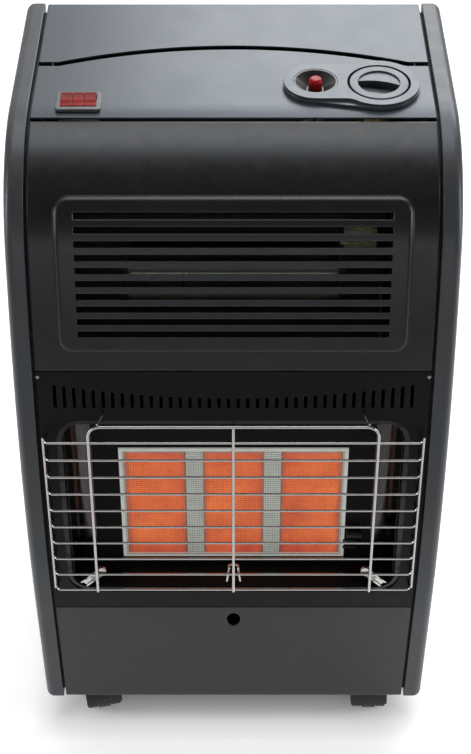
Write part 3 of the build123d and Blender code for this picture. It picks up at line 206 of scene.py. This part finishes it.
def edge_mask(tree):
    """0 on flat surface and 1 along the convex and concave edges."""
    geometry = node(tree, "ShaderNodeNewGeometry")
    dot = node(tree, "ShaderNodeVectorMath", operation="DOT_PRODUCT")
    tree.links.new(bevel_normal(tree, EDGE_WIDTH), dot.inputs[0])
    tree.links.new(geometry.outputs["Normal"], dot.inputs[1])
    turned = maths(tree, "SUBTRACT", 1.0, dot.outputs["Value"])
    return spread(tree, turned, 0.0, 1.0, *EDGE_TURN)


def bumped(tree, shader, height, strength, distance, round_edges=0.0):
    bump = node(tree, "ShaderNodeBump")
    bump.inputs["Strength"].default_value = strength
    bump.inputs["Distance"].default_value = distance
    tree.links.new(height, bump.inputs["Height"])
    if round_edges:
        tree.links.new(bevel_normal(tree, round_edges), bump.inputs["Normal"])
    tree.links.new(bump.outputs[0], shader.inputs["Normal"])


def surface(name, colour, rough, metallic=0.0, specular=0.5, tone=0.10, rough_spread=0.06,
            blotch=14.0, grain=900.0, grain_strength=0.25, edge=None, round_edges=0.0006,
            brushed=None, dust=None, painted_reflection_tint=None, glow=None):
    """A finished surface: uneven tone and gloss, a grain, and paler edges, which on paint and
    plastic are a painted edge highlight.

    edge is a colour and an amount, dust an amount and a colour, glow a colour and a strength of
    an emission that is painted light, as no part given a glow is a lamp.
    """
    mat, tree, shader = new_material(name)
    patches = noise(tree, blotch, detail=4.0)
    dark = tuple(c * (1 - tone) for c in colour)
    light = tuple(min(1.0, c * (1 + tone)) for c in colour)
    tint = mix_colour(tree, spread(tree, patches, 0.0, 1.0), dark, light)
    smear = noise(tree, blotch * SMEAR_SCALE, detail=5.0, rough=0.65, stretch=brushed)
    gloss = spread(tree, smear, rough - rough_spread, rough + rough_spread)
    if dust:
        amount, dust_colour = dust
        geometry = node(tree, "ShaderNodeNewGeometry")
        upward = axes(tree, geometry.outputs["Normal"])["Z"]
        facing = spread(tree, upward, 0.0, amount, 0.2, 1.0)
        tint = mix_colour(tree, maths(tree, "MULTIPLY", facing, smear), tint, dust_colour)
    # paler edges; on paint and plastic this is a painted edge highlight
    if edge:
        edge_colour, edge_amount = edge
        mask = maths(tree, "MULTIPLY", edge_mask(tree), spread(tree, smear, 0.3, 1.0))
        mask = maths(tree, "MULTIPLY", mask, edge_amount)
        tint = mix_colour(tree, mask, tint, edge_colour)
    tree.links.new(tint, shader.inputs["Base Color"])
    tree.links.new(gloss, shader.inputs["Roughness"])
    shader.inputs["Metallic"].default_value = metallic
    shader.inputs["Specular IOR Level"].default_value = specular
    # the specular tint paints the studio light's blue into the reflections: a painted reflection
    # colour
    if painted_reflection_tint:
        shader.inputs["Specular Tint"].default_value = (*painted_reflection_tint, 1.0)
    # glow paints light: an emission on a part that is no lamp
    if glow:
        painted_light_colour, painted_light_strength = glow
        shader.inputs["Emission Color"].default_value = (*painted_light_colour, 1.0)
        shader.inputs["Emission Strength"].default_value = painted_light_strength
    height = noise(tree, grain, detail=2.0, rough=0.5, stretch=brushed)
    bumped(tree, shader, height, grain_strength, GRAIN_DEPTH, round_edges)
    return mat


# ------------------------------------------------------------------ materials
# painted edge highlight: paint and plastic made paler along their edges, in the blue of the
# studio light
painted_edge_highlight = ((0.20, 0.22, 0.25), 0.35)
# reflections tinted blue: a painted reflection colour that stands in for the bluish studio light
painted_blue_reflection = (0.80, 0.89, 1.0)
painted_faint_blue_reflection = (0.94, 0.97, 1.0)

# painted sheet steel
side_finish = surface(
    "side_finish", (0.060, 0.062, 0.065), 0.34, specular=0.40, edge=painted_edge_highlight,
    grain=1400.0, grain_strength=0.14, painted_reflection_tint=painted_blue_reflection)
front_finish = surface(
    "front_finish", (0.0115, 0.0118, 0.0128), 0.32, specular=0.42, edge=painted_edge_highlight,
    grain=1500.0, grain_strength=0.12, round_edges=0.0024, painted_reflection_tint=painted_faint_blue_reflection)
# the surround's paler edges are a painted edge highlight
surround_finish = surface(
    "surround_finish", (0.004, 0.0042, 0.0046), 0.50, specular=0.16,
    edge=((0.08, 0.085, 0.09), 0.3), grain=1800.0, grain_strength=0.22)
top_finish = surface(
    "top_finish", (0.030, 0.037, 0.046), 0.32, specular=0.62, tone=0.05, rough_spread=0.03,
    blotch=6.0, edge=painted_edge_highlight, grain=1400.0, grain_strength=0.10, painted_reflection_tint=painted_blue_reflection)
liner_finish = surface("liner_finish", (0.010, 0.010, 0.011), 0.55, specular=0.3)
rear_finish = surface(
    "rear_finish", (0.016, 0.018, 0.022), 0.42, specular=0.4, edge=painted_edge_highlight)

# bare, plated and burnt metal
zinc_finish = surface(
    "zinc_finish", (0.42, 0.43, 0.42), 0.42, metallic=0.9, tone=0.18, blotch=45.0,
    edge=((0.65, 0.66, 0.66), 0.5))
shield_finish = surface(
    "shield_finish", (0.035, 0.035, 0.036), 0.5, metallic=0.5, tone=0.2, blotch=45.0)
burnt_finish = surface(
    "burnt_finish", (0.012, 0.011, 0.011), 0.5, metallic=0.3, tone=0.25, blotch=60.0)
rim_finish = surface(
    "rim_finish", (0.030, 0.029, 0.030), 0.24, metallic=0.6, tone=0.12, grain_strength=0.05,
    brushed=(1.0, 1.0, 6.0))
cheek_finish = surface(
    "cheek_finish", (0.060, 0.056, 0.057), 0.18, metallic=1.0, tone=0.2, grain_strength=0.05)
housing_finish = surface(
    "housing_finish", (0.006, 0.006, 0.0065), 0.62, specular=0.12, tone=0.25)
# The burner frame's glow is painted light: the frame is no lamp, and its emission stands in for
# the plaques' light falling on it.
burner_frame_painted_light = surface(
    "burner_frame_painted_light", (0.74, 0.78, 0.72), 0.5, tone=0.12, blotch=60.0,
    edge=((0.85, 0.88, 0.84), 0.4), glow=((0.72, 0.75, 0.70), 0.27))
plenum_finish = surface("plenum_finish", (0.46, 0.46, 0.44), 0.40, metallic=0.9, tone=0.15)
screw_finish = surface("screw_finish", (0.30, 0.30, 0.31), 0.3, metallic=1.0, tone=0.12)
brass_finish = surface(
    "brass_finish", (0.62, 0.44, 0.17), 0.28, metallic=1.0, tone=0.12,
    edge=((0.85, 0.68, 0.35), 0.4))
pipe_finish = surface("pipe_finish", (0.055, 0.032, 0.022), 0.4, metallic=0.8, tone=0.25)
chrome_finish = surface(
    "chrome_finish", (0.52, 0.51, 0.50), 0.20, metallic=1.0, tone=0.05, grain=400.0,
    grain_strength=0.05, round_edges=0.0)
pin_finish = surface("pin_finish", (0.55, 0.55, 0.55), 0.2, metallic=1.0)
trough_finish = surface(
    "trough_finish", (0.30, 0.34, 0.27), 0.30, metallic=1.0, tone=0.2, brushed=(8.0, 1.0, 1.0))

# plastic and rubber
control_finish, knob_finish = (
    surface(name, (0.045, 0.05, 0.055), 0.33, specular=0.7, edge=painted_edge_highlight, grain=2000.0,
            grain_strength=0.12, painted_reflection_tint=painted_blue_reflection)
    for name in ("control_finish", "knob_finish"))
cup_finish = surface(
    "cup_finish", (0.008, 0.008, 0.009), 0.2, specular=0.6, grain_strength=0.08)
# the bezel's pale edges are a painted edge highlight
bezel_finish = surface(
    "bezel_finish", (0.06, 0.065, 0.07), 0.3, specular=0.7, edge=((0.4, 0.42, 0.45), 0.4))
inner_plastic_finish = surface("inner_plastic_finish", (0.50, 0.48, 0.42), 0.45, tone=0.08)
castor_finish = surface(
    "castor_finish", (0.016, 0.016, 0.017), 0.45, specular=0.45, grain=1200.0,
    grain_strength=0.3, dust=(0.25, (0.20, 0.19, 0.18)))
tread_finish = surface(
    "tread_finish", (0.022, 0.022, 0.023), 0.55, specular=0.4, grain=700.0,
    grain_strength=0.4, dust=(0.2, (0.22, 0.21, 0.20)))


def red_plastic(name, colour, deep, rough):
    """Moulded red plastic with darker clouds in its body and a thin clear coat."""
    mat, tree, shader = new_material(name)
    cloud = spread(tree, noise(tree, 160.0), 0.0, 1.0)
    tree.links.new(mix_colour(tree, cloud, deep, colour), shader.inputs["Base Color"])
    gloss = spread(tree, noise(tree, 420.0), rough - 0.04, rough + 0.06)
    tree.links.new(gloss, shader.inputs["Roughness"])
    shader.inputs["Specular IOR Level"].default_value = 0.16
    shader.inputs["Coat Weight"].default_value = 0.04
    shader.inputs["Coat Roughness"].default_value = 0.10
    shader.inputs["Subsurface Weight"].default_value = 0.15
    shader.inputs["Subsurface Radius"].default_value = (0.004, 0.001, 0.001)
    shader.inputs["Subsurface Scale"].default_value = 0.6
    bumped(tree, shader, noise(tree, 900.0), 0.1, 0.00004, 0.0005)
    return mat


button_finish = red_plastic("button_finish", (0.46, 0.008, 0.008), (0.26, 0.004, 0.005), 0.20)
rocker_finish = red_plastic("rocker_finish", (0.32, 0.008, 0.004), (0.17, 0.003, 0.003), 0.16)


def fire_coordinates(tree):
    """Place on the leaning fire plane: the whole vector, x across and y up from its middle."""
    coord = node(tree, "ShaderNodeTexCoord")
    mapping = node(tree, "ShaderNodeMapping", vector_type="TEXTURE")
    mapping.inputs["Location"].default_value = FIRE.translation
    mapping.inputs["Rotation"].default_value = FIRE.to_euler()
    tree.links.new(coord.outputs["Object"], mapping.inputs["Vector"])
    split = axes(tree, mapping.outputs["Vector"])
    return mapping.outputs["Vector"], split["X"], split["Y"]


def glowing_ceramic(name, centre, brighter_right):
    """Pierced ceramic that glows orange in the middle and falls to dull red at its edges."""
    mat, tree, shader = new_material(name)
    vector, x, y = fire_coordinates(tree)
    side_fall = spread(tree, away_from(tree, x, centre), 0.0, 1.0, *PLAQUE_SIDE_FADE)
    end_fall = spread(tree, away_from(tree, y, BURNER_CENTRE), 0.0, 1.0, *PLAQUE_END_FADE)
    cloud = noise(tree, 26.0)
    left_level, right_level = (0.0, 1.0) if brighter_right else (1.0, 0.0)
    lean_to = spread(tree, maths(tree, "SUBTRACT", x, centre), left_level, right_level,
                     *PLAQUE_LEAN)
    heat = maths(tree, "ADD", maths(tree, "MULTIPLY", lean_to, 0.35),
                 spread(tree, cloud, 0.25, 0.75))
    heat = maths(tree, "SUBTRACT", heat, maths(tree, "MULTIPLY", end_fall, 0.65), clamp=True)
    glow = mix_colour(tree, heat, (0.54, 0.066, 0.045), (0.94, 0.225, 0.055))
    glow = mix_colour(tree, side_fall, glow, (0.16, 0.045, 0.04))
    cells = node(tree, "ShaderNodeTexVoronoi", feature="DISTANCE_TO_EDGE")
    cells.inputs["Scale"].default_value = 620.0
    cells.inputs["Randomness"].default_value = 0.15
    tree.links.new(vector, cells.inputs["Vector"])
    pores = spread(tree, cells.outputs["Distance"], 0.55, 1.0, 0.02, 0.18)
    shade = node(tree, "ShaderNodeCombineColor")
    for channel in shade.inputs:
        tree.links.new(pores, channel)
    lit = mix_colour(tree, 1.0, glow, shade.outputs[0], "MULTIPLY")
    tree.links.new(lit, shader.inputs["Emission Color"])
    shader.inputs["Emission Strength"].default_value = 0.95
    ash = mix_colour(tree, cloud, (0.20, 0.09, 0.06), (0.32, 0.14, 0.09))
    tree.links.new(ash, shader.inputs["Base Color"])
    tree.links.new(spread(tree, cloud, 0.7, 0.9), shader.inputs["Roughness"])
    shader.inputs["Specular IOR Level"].default_value = 0.1
    bumped(tree, shader, pores, 0.6, 0.0004)
    return mat


def hot_wire(name):
    """Fine mesh wire: it glows dully over the plaques and is bare metal over the frame."""
    mat, tree, shader = new_material(name)
    _, x, y = fire_coordinates(tree)
    half_pitch = PLAQUE_PITCH / 2
    from_bar = maths(tree, "PINGPONG", maths(tree, "ADD", x, half_pitch), half_pitch)
    over_plaque = spread(tree, from_bar, 0.0, 1.0, *WIRE_SIDE_FADE)
    inside = spread(tree, away_from(tree, y, BURNER_CENTRE), 1.0, 0.0, *WIRE_END_FADE)
    hot = maths(tree, "MULTIPLY", over_plaque, inside)
    cloud = noise(tree, 40.0)
    glow = mix_colour(tree, spread(tree, cloud, 0.0, 1.0), (0.26, 0.036, 0.02),
                      (0.58, 0.13, 0.045))
    glow = mix_colour(tree, hot, (0.0, 0.0, 0.0), glow)
    tree.links.new(glow, shader.inputs["Emission Color"])
    shader.inputs["Emission Strength"].default_value = 1.0
    metal = mix_colour(tree, hot, (0.52, 0.55, 0.51), (0.12, 0.06, 0.045))
    tree.links.new(metal, shader.inputs["Base Color"])
    tree.links.new(spread(tree, cloud, 0.4, 0.6), shader.inputs["Roughness"])
    shader.inputs["Metallic"].default_value = 0.4
    bumped(tree, shader, noise(tree, 3000.0), 0.2, 0.00003)
    return mat


def quartz_glass(name):
    """Milky quartz tube."""
    mat, tree, shader = new_material(name)
    streaks = noise(tree, 30.0, rough=0.5, stretch=(0.1, 1.0, 1.0))
    milk = mix_colour(tree, streaks, (0.30, 0.32, 0.28), (0.42, 0.44, 0.40))
    tree.links.new(milk, shader.inputs["Base Color"])
    tree.links.new(spread(tree, streaks, 0.06, 0.14), shader.inputs["Roughness"])
    shader.inputs["Transmission Weight"].default_value = 0.35
    shader.inputs["IOR"].default_value = 1.46
    bumped(tree, shader, noise(tree, 500.0), 0.1, 0.00003)
    return mat


def striped_lead(name):
    """Pale yellow insulation with a green stripe across it."""
    mat, tree, shader = new_material(name)
    coord = node(tree, "ShaderNodeTexCoord")
    wave = node(tree, "ShaderNodeTexWave", wave_type="BANDS", bands_direction="DIAGONAL")
    wave.inputs["Scale"].default_value = 60.0
    tree.links.new(coord.outputs["Object"], wave.inputs["Vector"])
    stripe = spread(tree, wave.outputs["Fac"], 0.0, 1.0, 0.48, 0.56)
    insulation = mix_colour(tree, stripe, (0.46, 0.48, 0.17), (0.26, 0.34, 0.13))
    tree.links.new(insulation, shader.inputs["Base Color"])
    tree.links.new(spread(tree, noise(tree, 300.0), 0.35, 0.5), shader.inputs["Roughness"])
    bumped(tree, shader, noise(tree, 800.0), 0.2, 0.00004)
    return mat


def floor_finish(name):
    """A white floor.

    The camera, mirrors and glass see it lifted to white, except under the heater, where its
    shadow lies, and on the near side in front of it. Round the footprint the lift fades in,
    which adds a painted shadow to the heater's cast shadow.
    """
    mat, tree, shader = new_material(name)
    cloud = noise(tree, 0.8, detail=2.0)
    white = mix_colour(tree, cloud, (0.88, 0.88, 0.88), (0.90, 0.90, 0.90))
    tree.links.new(white, shader.inputs["Base Color"])
    shader.inputs["Roughness"].default_value = 0.9
    shader.inputs["Specular IOR Level"].default_value = 0.0
    geometry = node(tree, "ShaderNodeNewGeometry")
    place = axes(tree, geometry.outputs["Position"])
    away = maths(tree, "MAXIMUM", *(
        maths(tree, "SUBTRACT", maths(tree, "ABSOLUTE", place[axis]), half)
        for axis, half in zip("XY", FOOTPRINT_HALF)))
    # the lift fades in round the footprint, which adds a painted shadow to the heater's cast
    # shadow
    lift = spread(tree, away, 0.0, FLOOR_LIFT, *SHADOW_FADE)
    lift = maths(tree, "MULTIPLY", lift, spread(tree, place["Y"], 0.0, 1.0, *NEAR_FADE))
    path = node(tree, "ShaderNodeLightPath")
    seen = maths(tree, "MAXIMUM", path.outputs["Is Camera Ray"], mirrored_ray(tree, path))
    tree.links.new(maths(tree, "MULTIPLY", lift, seen), shader.inputs["Emission Strength"])
    shader.inputs["Emission Color"].default_value = (1.0, 1.0, 1.0, 1.0)
    return mat


finishes = {
    "left_side_panel": side_finish,
    "right_side_panel": side_finish,
    "side_liners": liner_finish,
    "control_fascia": top_finish,
    "top_lid": top_finish,
    "upper_front_panel": front_finish,
    "lower_surround": surround_finish,
    "lower_front_panel": front_finish,
    "panel_screws": screw_finish,
    "base_tray": zinc_finish,
    "heat_shield": shield_finish,
    "rear_cover": rear_finish,
    "opening_trim": rim_finish,
    "side_reflectors": cheek_finish,
    "burner_housing": housing_finish,
    "burner_frame": burner_frame_painted_light,
    "burner_plenums": plenum_finish,
    "gas_manifold": plenum_finish,
    "gas_injectors": brass_finish,
    "gas_brackets": zinc_finish,
    "pilot_burner": burnt_finish,
    "thermocouple": burnt_finish,
    "ignition_electrode": burnt_finish,
    "gas_pipes": pipe_finish,
    "guard_crossbars": chrome_finish,
    "guard_frame": chrome_finish,
    "guard_fixings": chrome_finish,
    "control_bezel": control_finish,
    "control_knob": knob_finish,
    "valve_spindle": pin_finish,
    "valve_plunger": brass_finish,
    "valve_body": brass_finish,
    "gas_inlet_nozzle": brass_finish,
    "igniter_cup": cup_finish,
    "igniter_button": button_finish,
    "igniter_body": inner_plastic_finish,
    "switch_bezel": bezel_finish,
    "rocker_pin": pin_finish,
    "switch_body": inner_plastic_finish,
    "quartz_tubes": quartz_glass("quartz_finish"),
    "electric_reflector": trough_finish,
    "element_brackets": shield_finish,
    "terminal_block": inner_plastic_finish,
    "earth_lead": striped_lead("earth_finish"),
    "castor_mounts": zinc_finish,
}
for side, name in ((-1, "left"), (0, "centre"), (1, "right")):
    finishes[f"ceramic_plaque_{name}"] = glowing_ceramic(
        f"ceramic_{name}_finish", side * PLAQUE_PITCH, brighter_right=side == 1)
    finishes[f"switch_rocker_{name}"] = rocker_finish
for name in nodes:
    if name.startswith("castor_hood"):
        finishes[name] = castor_finish
    if name.startswith("castor_wheels"):
        finishes[name] = tread_finish
for name, obj in nodes.items():
    obj.data.materials.clear()
    obj.data.materials.append(finishes[name])


# ------------------------------------------------------------------ pieces that the model lacks
def mesh_object(name, bm, mat):
    mesh = bpy.data.meshes.new(name)
    bm.to_mesh(mesh)
    bm.free()
    mesh.materials.append(mat)
    obj = bpy.data.objects.new(name, mesh)
    bpy.context.scene.collection.objects.link(obj)
    return obj


def strand(bm, start, end):
    """One straight wire of the mesh between two points."""
    run = end - start
    side = run.orthogonal().normalized()
    other = run.normalized().cross(side)
    rings = []
    for point in (start, end):
        ring = []
        for step in range(MESH_SIDES):
            turn = 2 * math.pi * step / MESH_SIDES
            out = side * math.cos(turn) + other * math.sin(turn)
            ring.append(bm.verts.new(point + MESH_RADIUS * out))
        rings.append(ring)
    first, last = rings
    for step in range(MESH_SIDES):
        after = (step + 1) % MESH_SIDES
        bm.faces.new((first[step], first[after], last[after], last[step]))
    bm.faces.new(list(reversed(first)))
    bm.faces.new(last)


def burner_mesh():
    """The fine wire mesh in front of the plaques."""
    stand = MESH_STAND - FRAME_DEPTH
    half_x, half_y = (half - inset for half, inset in zip(BURNER_HALF, MESH_INSET))
    bm = bmesh.new()
    count = int(half_x / MESH_PITCH)
    for step in range(-count, count + 1):
        x = step * MESH_PITCH
        strand(bm, FIRE @ Vector((x, BURNER_CENTRE - half_y, stand)),
               FIRE @ Vector((x, BURNER_CENTRE + half_y, stand)))
    count = int(half_y / MESH_PITCH)
    for step in range(-count, count + 1):
        y = BURNER_CENTRE + step * MESH_PITCH
        strand(bm, FIRE @ Vector((-half_x, y, stand + MESH_RADIUS)),
               FIRE @ Vector((half_x, y, stand + MESH_RADIUS)))
    obj = mesh_object("burner_mesh", bm, hot_wire("hot_wire_finish"))
    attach(obj, "cabinet")


burner_mesh()


# ------------------------------------------------------------------ floor, world, lights, camera
def add_floor():
    bm = bmesh.new()
    bmesh.ops.create_grid(bm, x_segments=FLOOR_CELLS, y_segments=FLOOR_CELLS, size=FLOOR_HALF)
    obj = mesh_object("floor", bm, floor_finish("floor_finish"))
    obj.location = FLOOR_PLACE


def add_world():
    """A studio that is white behind and above, and dim on the near side, off camera."""
    world = bpy.data.worlds.new("studio")
    bpy.context.scene.world = world
    world.use_nodes = True
    tree = world.node_tree
    tree.nodes.clear()
    out = node(tree, "ShaderNodeOutputWorld")
    back = node(tree, "ShaderNodeBackground")
    back.inputs["Color"].default_value = (1.0, 1.0, 1.0, 1.0)
    coord = node(tree, "ShaderNodeTexCoord")
    turn = node(tree, "ShaderNodeVectorMath", operation="DOT_PRODUCT")
    turn.inputs[1].default_value = WHITE_DIRECTION
    tree.links.new(coord.outputs["Generated"], turn.inputs[0])
    level = spread(tree, turn.outputs["Value"], DIM_LEVEL, 1.0, *WHITE_FADE)
    path = node(tree, "ShaderNodeLightPath")
    share = spread(tree, mirrored_ray(tree, path), LIT_SHARE, 1.0, 0.0, 1.0)
    level = maths(tree, "MULTIPLY", level, share)
    level = maths(tree, "MAXIMUM", level, path.outputs["Is Camera Ray"])
    tree.links.new(level, back.inputs["Strength"])
    tree.links.new(back.outputs[0], out.inputs["Surface"])


def add_light(name, place, target, size, power):
    """A rectangular lamp at place that faces target, size in metres and power in watts."""
    data = bpy.data.lights.new(name, "AREA")
    data.shape = "RECTANGLE"
    data.size, data.size_y = size
    data.energy = power
    obj = bpy.data.objects.new(name, data)
    obj.location = place
    aim = Vector(target) - Vector(place)
    obj.rotation_euler = aim.to_track_quat("-Z", "Y").to_euler()
    bpy.context.scene.collection.objects.link(obj)


def add_camera():
    data = bpy.data.cameras.new("camera")
    data.sensor_width = SENSOR_WIDTH
    data.lens = FOCAL_PIXELS / PHOTO_HEIGHT * SENSOR_WIDTH
    data.clip_start, data.clip_end = CLIP_RANGE
    obj = bpy.data.objects.new("camera", data)
    obj.location = (CAMERA_X, FRONT_Y - CAMERA_AHEAD, BODY_BOTTOM + CAMERA_ABOVE)
    obj.rotation_euler = (math.radians(90.0 - CAMERA_DOWN), 0.0, 0.0)
    bpy.context.scene.collection.objects.link(obj)
    bpy.context.scene.camera = obj


add_floor()
add_world()
add_light("back_softbox", (0.75, 1.9, 2.1), (0.0, 0.0, 0.7), (2.2, 1.3), 43.0)
add_light("overhead", (0.0, 0.5, 2.6), (0.0, 0.0, 0.4), (1.6, 1.0), 16.0)
add_light("front_fill", (0.0, -2.6, 0.9), (0.0, 0.0, 0.4), (2.4, 0.7), 7.0)
add_light("left_strip", (-1.9, -0.35, 1.0), (0.0, 0.0, 0.6), (0.35, 1.1), 14.0)
add_light("right_strip", (1.9, -0.35, 1.0), (0.0, 0.0, 0.6), (0.35, 1.1), 14.0)
add_camera()

bpy.context.scene.view_settings.view_transform = "Standard"
